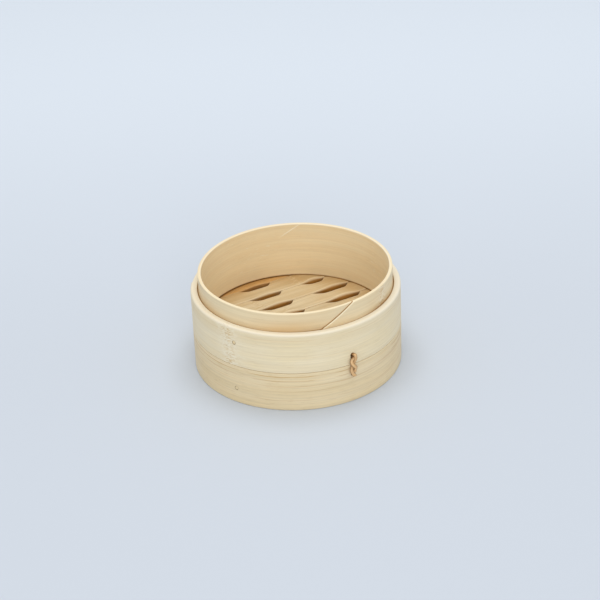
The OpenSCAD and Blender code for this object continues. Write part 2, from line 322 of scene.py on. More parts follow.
# Meshes: every piece is a grid of points, rows by columns, turned into quads. Its rows go round a
# closed section; its columns either close too or end in two flat caps.
def gridFaces(rows, columns, columnsClose):
    # corners (i,j) (i,j+1) (i+1,j+1) (i+1,j) for each cell, wrapping where a direction closes
    i, j = np.meshgrid(np.arange(rows), np.arange(columns - (not columnsClose)), indexing="ij")
    nextI, nextJ = (i + 1) % rows, (j + 1) % columns
    corners = [i * columns + j, i * columns + nextJ, nextI * columns + nextJ, nextI * columns + j]
    return np.stack(corners, -1).reshape(-1, 4)


def enclosedVolume(points, faces):
    # sum over triangles of a . (b x c) / 6
    triangles = np.concatenate([faces[:, [0, 1, 2]], faces[:, [0, 2, 3]]])
    a, b, c = (points[triangles[:, k]] for k in range(3))
    return np.einsum("ij,ij->i", a, np.cross(b, c)).sum() / 6


def addPiece(name, points, grain, finish, marks=None, columnsClose=True, angle=40, lining=None):
    # points and grain are (rows, columns, 3); marks are (rows, columns) numbers kept on the vertices;
    # edges sharper than the angle stay sharp; a lining is a second finish and the rows that take it
    rows, columns = points.shape[:2]
    flat = points.reshape(-1, 3)
    faces = gridFaces(rows, columns, columnsClose)
    firstColumn = np.arange(rows) * columns
    caps = [] if columnsClose else [firstColumn[::-1], firstColumn + columns - 1]
    if enclosedVolume(flat, faces) < 0:
        faces = faces[:, ::-1]
        caps = [cap[::-1] for cap in caps]
    mesh = bpy.data.meshes.new(name)
    mesh.from_pydata(flat, [], faces.tolist() + [cap.tolist() for cap in caps])
    grainLayer = mesh.attributes.new("grain", "FLOAT_VECTOR", "POINT")
    grainLayer.data.foreach_set("vector", grain.reshape(-1).astype(np.float32))
    layers = {"arris": 0.0, "sawnAndShaded": 0.0, "warmth": 0.0, "nodeDistance": 1.0, **(marks or {})}
    for key, value in layers.items():
        layer = mesh.attributes.new(key, "FLOAT", "POINT")
        spread = np.broadcast_to(value, (rows, columns)).reshape(-1).astype(np.float32)
        layer.data.foreach_set("value", np.ascontiguousarray(spread))
    mesh.materials.append(finishes[finish])
    if lining:
        mesh.materials.append(finishes[lining[0]])
        mesh.polygons.foreach_set("material_index", np.repeat(lining[1].astype(np.int32), columns))
    mesh.shade_smooth()
    mesh.set_sharp_from_angle(angle=math.radians(angle))
    mesh.update()
    piece = bpy.data.objects.new(name, mesh)
    bpy.context.scene.collection.objects.link(piece)
    return piece


def settle(piece, *nodes):
    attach(piece, "root")
    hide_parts(*nodes)
    return piece


def smooth(t):
    # 3t^2 - 2t^3 between 0 and 1
    t = np.clip(t, 0, 1)
    return t * t * (3 - 2 * t)


def ease(t):
    # starts steep and arrives level: sin(t pi / 2)
    return np.sin(np.clip(t, 0, 1) * np.pi / 2)


def bell(x, centre, width):
    # one hump: exp(-((x - centre) / width)^2)
    return np.exp(-((x - centre) / width) ** 2)


def wander(angle, seed, tones=(2, 3, 5, 9)):
    # closed wavy line round a circle: sum of sines with falling size
    random = np.random.default_rng(seed)
    return sum(np.sin(k * angle + random.uniform(0, 6.28)) / k for k in tones)


def drift(x, seed, waves=(0.03, 0.017, 0.008)):
    # open wavy line along a length: sum of sines of the given wavelengths in metres
    random = np.random.default_rng(seed)
    return sum(np.sin(2 * np.pi * x / w + random.uniform(0, 6.28)) * (w / waves[0]) for w in waves)


def cutAway(piece, points, faces, finish):
    # takes a closed shape's space out of the piece, whose new walls have the finish
    mesh = bpy.data.meshes.new("cutter")
    mesh.from_pydata(points, [], faces)
    mesh.materials.append(finishes[finish])
    cutter = bpy.data.objects.new("cutter", mesh)
    bpy.context.scene.collection.objects.link(cutter)
    modifier = piece.modifiers.new("cut", "BOOLEAN")
    modifier.operation = "DIFFERENCE"
    modifier.solver = "EXACT"
    modifier.material_mode = "TRANSFER"
    modifier.object = cutter
    bpy.context.view_layer.update()
    graph = bpy.context.evaluated_depsgraph_get()
    result = bpy.data.meshes.new_from_object(piece.evaluated_get(graph), depsgraph=graph)
    piece.modifiers.clear()
    piece.data = result
    bpy.data.objects.remove(cutter)


def bore(piece, rods, sides=28):
    # cuts round holes: each rod is (centre, direction, radius, length)
    for centre, direction, radius, length in rods:
        turn = np.linspace(0, 2 * np.pi, sides, endpoint=False)
        ring = np.stack([radius * np.cos(turn), radius * np.sin(turn)], -1)
        ends = np.array([-length / 2, length / 2])
        local = np.concatenate([np.column_stack([ring, np.full(sides, end)]) for end in ends])
        facing = np.array(Vector(direction).to_track_quat("Z", "Y").to_matrix())
        k = np.arange(sides)
        walls = np.stack([k, (k + 1) % sides, sides + (k + 1) % sides, sides + k], -1)
        faces = walls.tolist() + [k[::-1].tolist(), (k + sides).tolist()]
        cutAway(piece, local @ facing.T + np.array(centre), faces, "paintedBoreShade")


# Places round the basket: azimuth 0 is the front, growing towards +X.
def outward(azimuth):
    a = math.radians(azimuth)
    return np.array([math.sin(a), -math.cos(a), 0.0])


def sideways(azimuth):
    a = math.radians(azimuth)
    return np.array([math.cos(a), math.sin(a), 0.0])


def placed(azimuth, distance, side, height):
    # point at a distance from the axis, moved sideways along the wall
    return outward(azimuth) * distance + sideways(azimuth) * side + np.array([0, 0, height])


def roundedOutline(corners, rounds, spacing=0.8 * mm, arcSteps=6):
    # Convex closed outline: each corner becomes the arc of its round that touches both sides, and
    # straight runs get points no further apart than the spacing. Returns the points, how much each
    # is an arris, 0 to 1, and the length up to it.
    corners = [np.array(c, float) for c in corners]
    points, edge = [], []

    def addRun(start, end):
        steps = max(2, int(np.linalg.norm(end - start) / spacing) + 1)
        run = start + (end - start) * np.linspace(0, 1, steps)[1:-1, None]
        points.extend(run)
        edge.extend([0.0] * len(run))

    for k, corner in enumerate(corners):
        before, after = corners[k - 1], corners[(k + 1) % len(corners)]
        inward = (before - corner) / np.linalg.norm(before - corner)
        onward = (after - corner) / np.linalg.norm(after - corner)
        half = math.acos(np.clip(inward @ onward, -1, 1)) / 2
        touch = rounds[k] / math.tan(half)
        middle = corner + (inward + onward) / np.linalg.norm(inward + onward) * rounds[k] / math.sin(half)
        start, end = corner + inward * touch - middle, corner + onward * touch - middle
        first = math.atan2(start[1], start[0])
        sweep = (math.atan2(end[1], end[0]) - first + math.pi) % (2 * math.pi) - math.pi
        turn = first + sweep * np.linspace(0, 1, arcSteps + 1)
        arc = middle + rounds[k] * np.column_stack([np.cos(turn), np.sin(turn)])
        if len(points):
            addRun(points[-1], arc[0])
        points.extend(arc)
        edge.extend(np.sin(np.linspace(0.15, 0.85, arcSteps + 1) * np.pi))
    addRun(points[-1], points[0])
    points.append(points[-1] * 0.02 + points[0] * 0.98)   # hides where the grain starts again
    edge.append(0.0)
    points = np.array(points)
    length = np.concatenate([[0], np.cumsum(np.linalg.norm(np.diff(points, axis=0), axis=1))])
    return points, np.array(edge), length


def hoopSurface(outline, azimuths, radial=0.0, rise=0.0, slide=0.0):
    # outline point (distance, height) carried round the axis:
    # (d sin a, -d cos a, z) with d = distance + radial, z = height + rise, a = azimuth + slide
    distance = outline[:, :1] + radial
    height = outline[:, 1:] + rise
    angle = azimuths[None, :] + slide
    distance, height, angle = np.broadcast_arrays(distance, height, angle)
    return np.stack([distance * np.sin(angle), -distance * np.cos(angle), height], -1)


def hoopGrain(points, length, radius):
    # fibres run round the hoop: two coordinates follow the circle, the third crosses the strip
    angle = np.arctan2(points[..., 0], -points[..., 1])
    across = np.broadcast_to(length[:, None], angle.shape)
    return np.stack([radius * np.cos(angle), radius * np.sin(angle), across], -1)


def hoopAngles(count, tight=()):
    # even steps round the circle, with extra columns packed about azimuths: (degrees, width, columns)
    angles = [np.radians(np.linspace(-180, 180, count, endpoint=False))]
    for centre, width, extra in tight:
        angles.append(np.radians(centre + np.linspace(-width, width, extra)))
    return np.unique(np.round(np.concatenate(angles), 7))


def fromAzimuth(points, azimuth, radius):
    # distance round the wall from an azimuth in radians: the angle between, times the radius
    angle = np.arctan2(points[..., 0], -points[..., 1])
    return ((angle - azimuth + np.pi) % (2 * np.pi) - np.pi) * radius


stitch = {
    "azimuth": 30.0, "top": 28.0 * mm, "low": 17.6 * mm, "holeRadius": 1.25 * mm, "holeApart": 0.6 * mm,
    "holeDepth": 12 * mm, "apart": 0.92 * mm, "width": 1.0 * mm, "thickness": 0.66 * mm, "swing": 1.2 * mm,
    "shift": -0.7 * mm, "lag": 10.0, "proud": 0.65 * mm, "cross": 0.7 * mm, "samples": 420,
}
pins = {"azimuth": -36.0, "rise": 14.0 * mm, "radius": 1.0 * mm, "play": 0.14 * mm, "dome": 0.12 * mm,
        "hoopAzimuths": (75, 165, 255, 345)}
holeMiddle = baseR - 1 * mm      # how far out the bands' drilled holes have their middle


def stitchHoles(height):
    # two holes one above the other through a band, one for each pass of the cane
    s = stitch
    return [(placed(s["azimuth"], holeMiddle, s["shift"] / 2, height + side * s["holeApart"]),
             outward(s["azimuth"]), s["holeRadius"], s["holeDepth"]) for side in (-1, 1)]


def pinHole(height):
    return (placed(pins["azimuth"], holeMiddle, 0, height), outward(pins["azimuth"]),
            pins["radius"] + pins["play"], 8 * mm)


def bandRadial(s, outline, azimuths, across):
    # A band's uneven outside: half the wobble times a wavy line that goes from the first wave to the
    # second across the band, less the wobble, less a lap step that fades out over lapLength degrees.
    # Returns it, and which rows are on the outside.
    outer = (outline[:, :1] > baseR - 1.3 * mm).astype(float)
    low, high = (wander(azimuths, seed) for seed in s["waves"])
    wave = s["wobble"] * (low * (1 - across) + high * across) * 0.5
    lap = np.degrees(azimuths) - s["lapAzimuth"]
    step = -s["lapStep"] * np.where(lap < 0, smooth(1 + lap / s["lapLength"]), 0.0) * outer
    return wave - s["wobble"] + step, outer


upperBand = {
    "seamDrop": 0.3 * mm, "seamGap": 0.12 * mm, "lift": 0.2 * mm, "columns": 720,
    "rounds": [0.35 * mm, 0.45 * mm, 1.2 * mm, 0.5 * mm],      # inner foot, outer foot, outer top, inner top
    "wobble": 0.1 * mm, "waves": (5, 6), "topWobble": 0.1 * mm, "topWave": 7, "topZone": 4 * mm,
    "nodeAzimuth": -39.8, "nodeLean": -0.09, "ridge": 0.1 * mm, "ridgeWidth": 1.1 * mm,
    "lapAzimuth": -96.0, "lapStep": 0.35 * mm, "lapLength": 24.0,
}


def makeUpperBand():
    # hoop between the seam and the ledge, with a rounded top arris, a low node ridge and a lap end
    s = upperBand
    low, high = seamZ - s["seamDrop"] + s["seamGap"], ledgeZ + s["lift"]
    middle = (low + high) / 2
    corners = [(bandInR, low), (baseR, low), (baseR, high), (bandInR, high)]
    outline, edge, length = roundedOutline(corners, s["rounds"])
    height = outline[:, 1:]
    azimuths = hoopAngles(s["columns"], [(s["lapAzimuth"], 0.4, 9), (s["nodeAzimuth"], 3, 60)])
    radial, outer = bandRadial(s, outline, azimuths, smooth((height - low) / (high - low)))
    nodeAt = np.radians(s["nodeAzimuth"] + s["nodeLean"] * (height - middle) / mm)
    ridge = s["ridge"] * bell((azimuths - nodeAt) * baseR, 0, s["ridgeWidth"]) * outer
    top = smooth((height - high + s["topZone"]) / s["topZone"])
    rise = s["topWobble"] * (wander(azimuths, s["topWave"]) - 1.1) * top
    points = hoopSurface(outline, azimuths, radial + ridge, rise)
    lean = math.radians(s["nodeLean"]) / mm
    toNode = fromAzimuth(points, math.radians(s["nodeAzimuth"]) + lean * (points[..., 2] - middle), baseR)
    # pale top of the band: worn, and partly a painted highlight
    pale = smooth((height - high + 1.5 * mm) / (1.2 * mm))
    marks = {"arris": np.maximum(edge[:, None] * 0.6, pale), "nodeDistance": toNode}
    piece = addPiece("upperBandHoop", points, hoopGrain(points, length, baseR), "upperBamboo",
                     marks)
    bore(piece, stitchHoles(stitch["top"]) + [pinHole(seamZ + pins["rise"])])
    return settle(piece, "upper_band")


lowerBand = {
    "seamDrop": 0.35 * mm, "socketTop": 12 * mm, "columns": 720,
    "rounds": [0.4 * mm, 0.3 * mm, 0.5 * mm, 0.6 * mm, 0.45 * mm],      # from the inner seam down and out
    "wobble": 0.1 * mm, "waves": (8, 5), "lapAzimuth": -104.0, "lapStep": 0.4 * mm, "lapLength": 24.0,
}


def makeLowerBand():
    # hoop from the base to the seam; its bore narrows a little above the socket
    s = lowerBand
    high = seamZ - s["seamDrop"]
    corners = [(bandInR, high), (socketR, s["socketTop"]), (socketR, 0), (baseR, 0), (baseR, high)]
    outline, edge, length = roundedOutline(corners, s["rounds"])
    azimuths = hoopAngles(s["columns"], [(s["lapAzimuth"], 0.4, 9)])
    radial, outer = bandRadial(s, outline, azimuths, smooth(outline[:, 1:] / high))
    points = hoopSurface(outline, azimuths, radial)
    marks = {"arris": edge[:, None] * 0.7}
    piece = addPiece("lowerBandHoop", points, hoopGrain(points, length, baseR), "lowerBamboo",
                     marks)
    bore(piece, stitchHoles(stitch["low"]) + [pinHole(seamZ - pins["rise"])])
    return settle(piece, "lower_band")


# Azimuths, blends and widths round the ring are in degrees, and innerSlope in degrees per mm.
innerRing = {
    "columns": 520, "spacing": 0.5 * mm, "lift": 0.02 * mm, "seat": 1.1 * mm,
    "rounds": [0.15 * mm, 0.3 * mm, 0.3 * mm, 1 * mm, 0.5 * mm, 0.55 * mm],      # from the inner foot out
    "lapRim": 34.6, "lapLedge": 15.2, "lapStep": 0.75 * mm, "blend": 35.0,
    "crack": 0.25 * mm, "crackAt": -0.35, "crackWidth": 0.3, "lapArris": 0.15 * mm, "lapArrisWidth": 0.5,
    "innerRim": 175.5, "innerSlope": -1.6, "innerStep": 0.16 * mm, "innerBlend": 40.0,
    "leanWidth": 95.0, "leanDepth": 13 * mm,
    "level": -0.3 * mm, "lean": 0.55 * mm, "bow": 0.2 * mm, "rimWobble": 0.05 * mm, "rimWave": 12,
    "swells": [(-48, 28, 0.5 * mm), (38, 22, 0.3 * mm), (0, 60, 0.12 * mm)],      # azimuth, width, height
    "clearAt": 72.0, "clearWidth": 9.0, "clear": 0.5 * mm, "nodeAzimuth": 60.0,
    "warmAt": 6.0, "warmWidth": 24.0,
}


def floorRise(x):
    # the floor and the ring's foot lie a little higher towards the left: 0.3 mm (1 - x / 50 mm)
    return 0.3 * mm * (1 - x / (50 * mm))


def makeInnerRing():
    # Tall ring. Outside, the column lines lean with the diagonal lap, so its step stays crisp, and
    # inside they lean the other way along the inner lap end. The hand-cut rim is a little uneven:
    # rise = level + lean sin a + bow sin 2a + the swells + a small wavy line.
    s = innerRing
    low = slatTop + s["lift"]
    corners = [(ringInR, low), (ringFootR - 0.1 * mm, low), (bandInR - 0.02 * mm, ledgeZ - s["seat"]),
               (collarR, ledgeZ - 0.2 * mm), (collarR, rimZ), (ringInR, rimZ)]
    outline, edge, length = roundedOutline(corners, s["rounds"], s["spacing"])
    height = outline[:, 1:]
    azimuths = hoopAngles(s["columns"], [(s["lapRim"], 1.4, 57), (s["innerRim"], 0.5, 9)])
    around = np.degrees(azimuths)
    outer = outline[:, :1] > (collarR + ringInR) / 2
    raised = smooth((height - ledgeZ) / (rimZ - ledgeZ))
    upper = smooth((height - ledgeZ - 1 * mm) / (4 * mm))

    def leaning(centre, slope):
        # degrees that a column slides for its depth below the rim, less and less away from the lap
        away = np.abs((azimuths - math.radians(centre) + np.pi) % (2 * np.pi) - np.pi)
        below = np.clip(height - rimZ, -s["leanDepth"], 0)
        return slope * below * (1 - smooth(away / math.radians(s["leanWidth"])))

    outSlope = math.radians(s["lapRim"] - s["lapLedge"]) / (rimZ - ledgeZ)
    inSlope = math.radians(s["innerSlope"]) / mm
    slide = np.where(outer, leaning(s["lapRim"], outSlope), leaning(s["innerRim"], inSlope))

    # laps: outside a thinned strip runs under the end that shows, with a crack and a worn arris
    lap, innerLap = around - s["lapRim"], around - s["innerRim"]
    thin = np.where(lap < 0, np.clip(1 + lap / s["blend"], 0, 1) ** 2, 0.0)
    crack = bell(lap, s["crackAt"], s["crackWidth"]) * (lap < 0)
    lapArris = bell(lap, 0, s["lapArrisWidth"]) * (lap >= 0)
    radial = np.where(outer, -s["lapStep"] * thin - s["crack"] * crack - s["lapArris"] * lapArris, 0.0)
    lip = np.where(innerLap < 0, smooth(1 + innerLap / s["innerBlend"]), 0.0)
    radial = radial + np.where(outer, 0.0, -s["innerStep"] * lip) * upper
    clear = bell(around, s["clearAt"], s["clearWidth"])      # here the collar stands clear of the band
    radial = radial - s["clear"] * clear * outer * smooth((ledgeZ + 3 * mm - height) / (3 * mm))

    swell = sum(size * bell(around, place, width) for place, width, size in s["swells"])
    rise = (s["level"] + s["lean"] * np.sin(azimuths) + s["bow"] * np.sin(2 * azimuths) + swell
            + s["rimWobble"] * wander(azimuths, s["rimWave"])) * raised
    rise = rise + floorRise(ringInR * np.sin(azimuths)) * (1 - smooth((height - low) / (8 * mm)))
    points = hoopSurface(outline, azimuths, radial, rise, slide)

    toNode = np.where(outer, fromAzimuth(points, math.radians(s["nodeAzimuth"]), collarR), 1.0)
    # painted shade: brown in the lap's crack, on the outside below the ledge where the ring stands in the
    # band, and along the inside foot at the floor
    lapCrackShade = np.where(outer, smooth(1 + (lap - s["crackAt"]) / 0.9) * (lap < 0.01), 0.0)
    # painted highlights: a pale band along the lap's lifted end, and a pale line on the inner lap's step
    lapHighlight = np.where(outer, 1.1 * smooth((1.3 - lap) / 0.7) * (lap >= 0), 0.0)
    innerLapHighlight = np.where(outer, 0.0, bell(innerLap, -0.15, 0.45)) * upper * (height < rimZ - 1 * mm)
    foot = np.where(outer, smooth((ledgeZ - 0.05 * mm - height) / (0.5 * mm)) * 0.9,
                    1 - smooth((height - low) / (0.5 * mm)))
    rimEdge = edge[:, None] * 0.75 * (height > ledgeZ + 5 * mm)
    # painted warm shade and bounce light on the outside: strongest at the front and towards the ledge
    towardFront = bell(around, s["warmAt"], s["warmWidth"])
    towardLedge = smooth((rimZ - 2 * mm - height) / (7 * mm))
    marks = {"arris": np.maximum(rimEdge, lapHighlight + innerLapHighlight), "nodeDistance": toNode,
             "sawnAndShaded": np.minimum(lapCrackShade * 0.9 + foot, 1),
             "warmth": outer * (0.25 + 0.75 * towardFront) * (0.35 + 0.65 * towardLedge)}
    piece = addPiece("innerRingStrip", points, hoopGrain(points, length, collarR), "ringOuterBamboo",
                     marks, lining=("ringInnerBamboo", outer[:, 0] == 0))
    return settle(piece, "inner_ring")


# The floor has its own axes: u along the slats, w across them.
floor = {
    "turn": 30.0, "pitch": 12.8 * mm, "shift": 0.8 * mm, "count": 7, "gap": 0.2 * mm, "round": 0.55 * mm,
    "columns": [(-48 * mm, -25 * mm), (-12 * mm, 9.5 * mm), (22.4 * mm, 46 * mm)],
    "slotDepth": 3.3 * mm, "slotRelief": 1.1 * mm, "lead": 7.5 * mm, "tail": 4.5 * mm, "margin": 1.2 * mm,
    "shortest": 10 * mm, "reliefRound": 0.7, "reliefScoop": 0.8, "samples": 300,
    "endProud": 0.75 * mm, "endLift": 0.3 * mm, "trim": 0.15 * mm,
}


def floorPoints(u, w, z):
    turn = math.radians(floor["turn"])
    return np.stack([u * math.cos(turn) - w * math.sin(turn), u * math.sin(turn) + w * math.cos(turn), z], -1)


def slotsOf(joint):
    # the slots of one joint, cut short where the ring is near
    w = -floor["count"] * floor["pitch"] / 2 + floor["shift"] + joint * floor["pitch"]
    reach = math.sqrt((ringInR - floor["margin"]) ** 2 - w ** 2)
    spans = [(max(a, -reach), min(b, reach)) for a, b in floor["columns"]]
    return w, [(a, b) for a, b in spans if b - a > floor["shortest"]]


def notchEdge(u, joint):
    # far edge of the nearer piece: dips to the slot's depth, easing in at the lead and out at the tail
    w, spans = slotsOf(joint)
    random = np.random.default_rng(60 + joint)
    depths = floor["slotDepth"] * random.uniform(0.9, 1.08, 3)
    dip = sum(depth * ease((u - a) / floor["lead"]) * ease((b - u) / floor["tail"])
              for depth, (a, b) in zip(depths, spans))
    return w - dip


def reliefArcs(u, joint):
    # what is hollowed from the farther piece's near edge: over each slot a shallow arc, deeper
    # towards its right end, height sin(pi t^1.3)^1.4 with t from 0 to 1 along the slot
    spans = slotsOf(joint)[1]
    random = np.random.default_rng(80 + joint)
    heights = floor["slotRelief"] * random.uniform(0.5, 1.5, 3)
    return sum(height * np.sin(np.pi * np.clip((u - a) / (b - a), 0, 1) ** 1.3) ** 1.4
               for height, (a, b) in zip(heights, spans))


def slatSurface(near, far, low, high, rounding, nearRounding, across=15):
    # Closed section at each u: bottom, near side, top, far side, with quarter rounds at the arrises.
    # Returns (section, u) arrays of w and z, and 1 for the rows of the two upper arrises.
    width = far - near
    rho = np.minimum(rounding, 0.42 * width)
    rhoNear = np.minimum(nearRounding, 0.42 * width)
    share = np.linspace(0, 1, across)[:, None]
    turn = np.linspace(0, np.pi / 2, 5)[:, None]
    lowRho = rho * 0.5
    bottom = (far - lowRho) - share * (width - 2 * lowRho)
    nearLow = near + lowRho - lowRho * np.sin(turn)
    nearHigh = near + rhoNear - rhoNear * np.cos(turn)
    top = near + rhoNear + share * (width - rho - rhoNear)
    farHigh = far - rho + rho * np.sin(turn)
    farLow = far - lowRho + lowRho * np.cos(turn)
    w = np.vstack([bottom, nearLow[1:], nearHigh, top[1:], farHigh[1:], farLow[:-1]])
    z = np.vstack([low + 0 * bottom, (low + lowRho - lowRho * np.cos(turn))[1:],
                   high - rhoNear + rhoNear * np.sin(turn), (high + 0 * top)[1:],
                   (high - rho + rho * np.cos(turn))[1:], (low + lowRho - lowRho * np.sin(turn))[:-1]])
    nearEnd = len(bottom) + len(nearLow) - 1 + len(nearHigh)
    farEnd = nearEnd + len(top) - 1 + len(farHigh) - 1
    arris = np.zeros(len(w))
    arris[nearEnd - 5:nearEnd] = 1
    arris[farEnd - 4:farEnd] = 1
    return w, z, arris


def makeSlat(name, node, near, far, end, high, finish, seed, relief=None):
    # Strip between two edges that depend on u, with a slightly cupped and tilted top. Where the slots'
    # relief hollows its near edge, that edge is rounder and its side slopes in under it.
    random = np.random.default_rng(seed)
    low = slatLow
    u = np.linspace(-end, end, floor["samples"])
    hollow = relief(u) if relief else 0 * u
    nearEdge = near(u) + 0.05 * mm * drift(u, seed + 1)
    farEdge = far(u) + 0.05 * mm * drift(u, seed + 2)
    w, z, arris = slatSurface(nearEdge, farEdge, low, high, floor["round"],
                              floor["round"] + floor["reliefRound"] * hollow)
    middle = (nearEdge + farEdge) / 2
    half = (farEdge - nearEdge) / 2
    offset = np.clip((w - middle) / half, -1, 1)
    lift = smooth((z - low) / (high - low))
    sink = random.uniform(0.02, 0.14) * mm
    tilt = random.uniform(-0.09, 0.09) * mm
    uGrid = np.broadcast_to(u, w.shape)
    z = z - lift * (sink + tilt * offset + 0.12 * mm * offset ** 2 + 0.03 * mm * (1 + drift(u, seed + 3) / 2))
    rise = floorRise(floorPoints(uGrid, w, z)[..., 0])
    high = high + rise
    scoop = floor["reliefScoop"] * hollow * smooth((high - 0.4 * mm - z) / (2.6 * mm))
    w = w - scoop * smooth((middle - w) / (0.9 * half))
    z = z + lift * (rise if relief else floor["endLift"])
    points = floorPoints(uGrid, w, z)

    # fibres run along u, and the third coordinate goes on down both sides
    across = np.where(w < middle, w - (high - z), w + (high - z)) + 0.03 * seed
    grain = np.stack([uGrid + 0.21 * seed, 0 * w + 0.1 * seed, across], -1)
    # brown along the sides, the cut faces, deepening below the top edge as painted shade, and painted shade
    # where the slat runs under the ring
    distance = np.hypot(uGrid, w)
    side = np.maximum(smooth((high - 0.3 * mm - z) / (1.0 * mm)),
                      smooth((distance - ringInR + 0.7 * mm) / (0.6 * mm)))
    side = side * np.where(z < low + 0.05 * mm, 0.25, 1.0)
    # painted warm shade and bounce light towards the ring's wall
    warmth = smooth((distance - 32 * mm) / (18 * mm)) * (0.85 + 0.15 * drift(u, seed + 8))
    nodeAt = random.uniform(-40, 40) * mm
    # the upper arrises are pale: worn, and partly a painted highlight
    marks = {"arris": arris[:, None] * 0.8, "sawnAndShaded": side, "warmth": warmth,
             "nodeDistance": uGrid - nodeAt + 0.6 * mm * drift(w, seed + 5, (0.004, 0.002))}
    piece = addPiece(name, points, grain, finish, marks, columnsClose=False)
    return settle(piece, node)


def makeFloor():
    # seven slats between eight joints, and an end piece outside each outer joint
    gap = floor["gap"] / 2
    disc = slatR - floor["trim"]
    last = floor["count"]

    def chord(u):
        return np.sqrt(np.maximum(disc ** 2 - u ** 2, 0))

    def halfLength(w):
        return math.sqrt(disc ** 2 - w ** 2)

    for k in range(last):
        wNear, wFar = slotsOf(k)[0], slotsOf(k + 1)[0]
        closest = 0 if wNear < 0 < wFar else min(abs(wNear), abs(wFar))
        makeSlat(
            f"floorSlat{k + 1}", f"slat_{k + 1}",
            lambda u: np.maximum(wNear + reliefArcs(u, k) + gap, -chord(u)),
            lambda u: np.minimum(notchEdge(u, k + 1) - gap, chord(u)),
            halfLength(closest + 0.8 * mm), slatTop, "slatBamboo", k + 1,
            lambda u: reliefArcs(u, k))
    firstW, lastW = slotsOf(0)[0], slotsOf(last)[0]
    for name, node, w, seed, near, far in (
            ("endPieceBack", "end_slat_back", lastW, 20 + last,
             lambda u: lastW + reliefArcs(u, last) + gap, chord),
            ("endPieceFront", "end_slat_front", firstW, 20,
             lambda u: -chord(u), lambda u: notchEdge(u, 0) - gap)):
        makeSlat(name, node, near, far, halfLength(abs(w) + 1.2 * mm), endTop + floor["endProud"],
                 "brownBamboo", seed)


crossbars = {"crossbar_left": -19 * mm, "crossbar_right": 16 * mm}      # their u
crossbarShape = {"radius": 3.4 * mm, "inset": 0.4 * mm, "play": 0.12 * mm, "samples": 160, "arc": 30,
                 "flat": 7, "swell": 0.05, "swellWidth": 1.2 * mm}


def makeCrossbar(name, node, u, seed):
    # split bamboo: flat top and round underside, carried straight across the slats, with a low node ring
    s = crossbarShape
    radius = s["radius"]
    end = math.sqrt((hoopOutR - s["inset"]) ** 2 - (abs(u) + radius) ** 2)
    w = np.linspace(-end, end, s["samples"])
    cut = math.asin((slatLow - barLow - radius) / radius)
    turn = np.linspace(math.pi - cut, 2 * math.pi + cut, s["arc"])[:, None]
    nodeAt = np.random.default_rng(seed).uniform(-20, 20) * mm
    swell = 1 + s["swell"] * bell(w, nodeAt, s["swellWidth"]) + 0.01 * drift(w, seed)
    flat = np.linspace(0.86, -0.86, s["flat"])[:, None]
    side = np.vstack([radius * np.cos(turn) * swell * 0.97, flat * radius + 0 * w])
    up = np.vstack([barLow + radius + radius * np.sin(turn) * np.minimum(swell, 1.0),
                    slatLow - s["play"] + 0 * w + 0 * flat])
    wGrid = np.broadcast_to(w, side.shape)
    bend = 0.15 * mm * drift(w, seed + 4, (0.09, 0.05))
    points = floorPoints(u + side + bend, wGrid, up)
    around = np.linspace(0, 2 * math.pi * radius, len(side))[:, None] + 0 * w
    grain = np.stack([wGrid + seed, 0 * side + 0.3, around], -1)
    marks = {"sawnAndShaded": np.vstack([0 * turn, 1 + 0 * flat]), "nodeDistance": wGrid - nodeAt}
    piece = addPiece(name, points, grain, "brownBamboo", marks, columnsClose=False)
    return settle(piece, node)


supportHoop = {"round": 0.35 * mm, "columns": 360, "play": 0.05 * mm, "wobble": 0.04 * mm, "wave": 31,
               "notchHalf": 3.65 * mm, "notchReach": 60 * mm}


def makeSupportHoop():
    # plain hoop under the floor, notched for the crossbars and bored for the cane
    s = supportHoop
    high = slatLow - s["play"]
    corners = [(hoopInR, hoopLow), (hoopOutR, hoopLow), (hoopOutR, high), (hoopInR, high)]
    outline, edge, length = roundedOutline(corners, [s["round"]] * 4)
    azimuths = hoopAngles(s["columns"])
    points = hoopSurface(outline, azimuths, s["wobble"] * (wander(azimuths, s["wave"]) - 1))
    piece = addPiece("supportHoopStrip", points, hoopGrain(points, length, hoopInR), "brownBamboo",
                     {"arris": edge[:, None] * 0.5})
    boxFaces = [(0, 1, 3, 2), (4, 6, 7, 5), (0, 4, 5, 1), (2, 3, 7, 6), (0, 2, 6, 4), (1, 5, 7, 3)]
    for u in crossbars.values():
        x, y, z = np.meshgrid([u - s["notchHalf"], u + s["notchHalf"]], [-s["notchReach"], s["notchReach"]],
                              [barLow - 0.1 * mm, slatLow + 1 * mm], indexing="ij")
        cutAway(piece, floorPoints(x, y, z).reshape(-1, 3), boxFaces, "brownBamboo")
    bore(piece, [(placed(stitch["azimuth"], hoopInR, 0, stitch["low"] + side * stitch["apart"]),
                  outward(stitch["azimuth"]), stitch["holeRadius"], stitch["holeDepth"]) for side in (-1, 1)])
    return settle(piece, "support_hoop")


def tubeSurface(path, across, width, thickness, sides=16):
    # oval section carried along a path: point + width cos t * across + thickness sin t * (along x across)
    along = np.gradient(path, axis=0)
    along /= np.linalg.norm(along, axis=1)[:, None]
    across = across - along * np.einsum("ij,ij->i", along, across)[:, None]
    across /= np.linalg.norm(across, axis=1)[:, None]
    up = np.cross(along, across)
    turn = np.linspace(0, 2 * np.pi, sides, endpoint=False)
    ring = width * np.cos(turn)[:, None, None] * across + thickness * np.sin(turn)[:, None, None] * up
    return path[None] + ring, turn


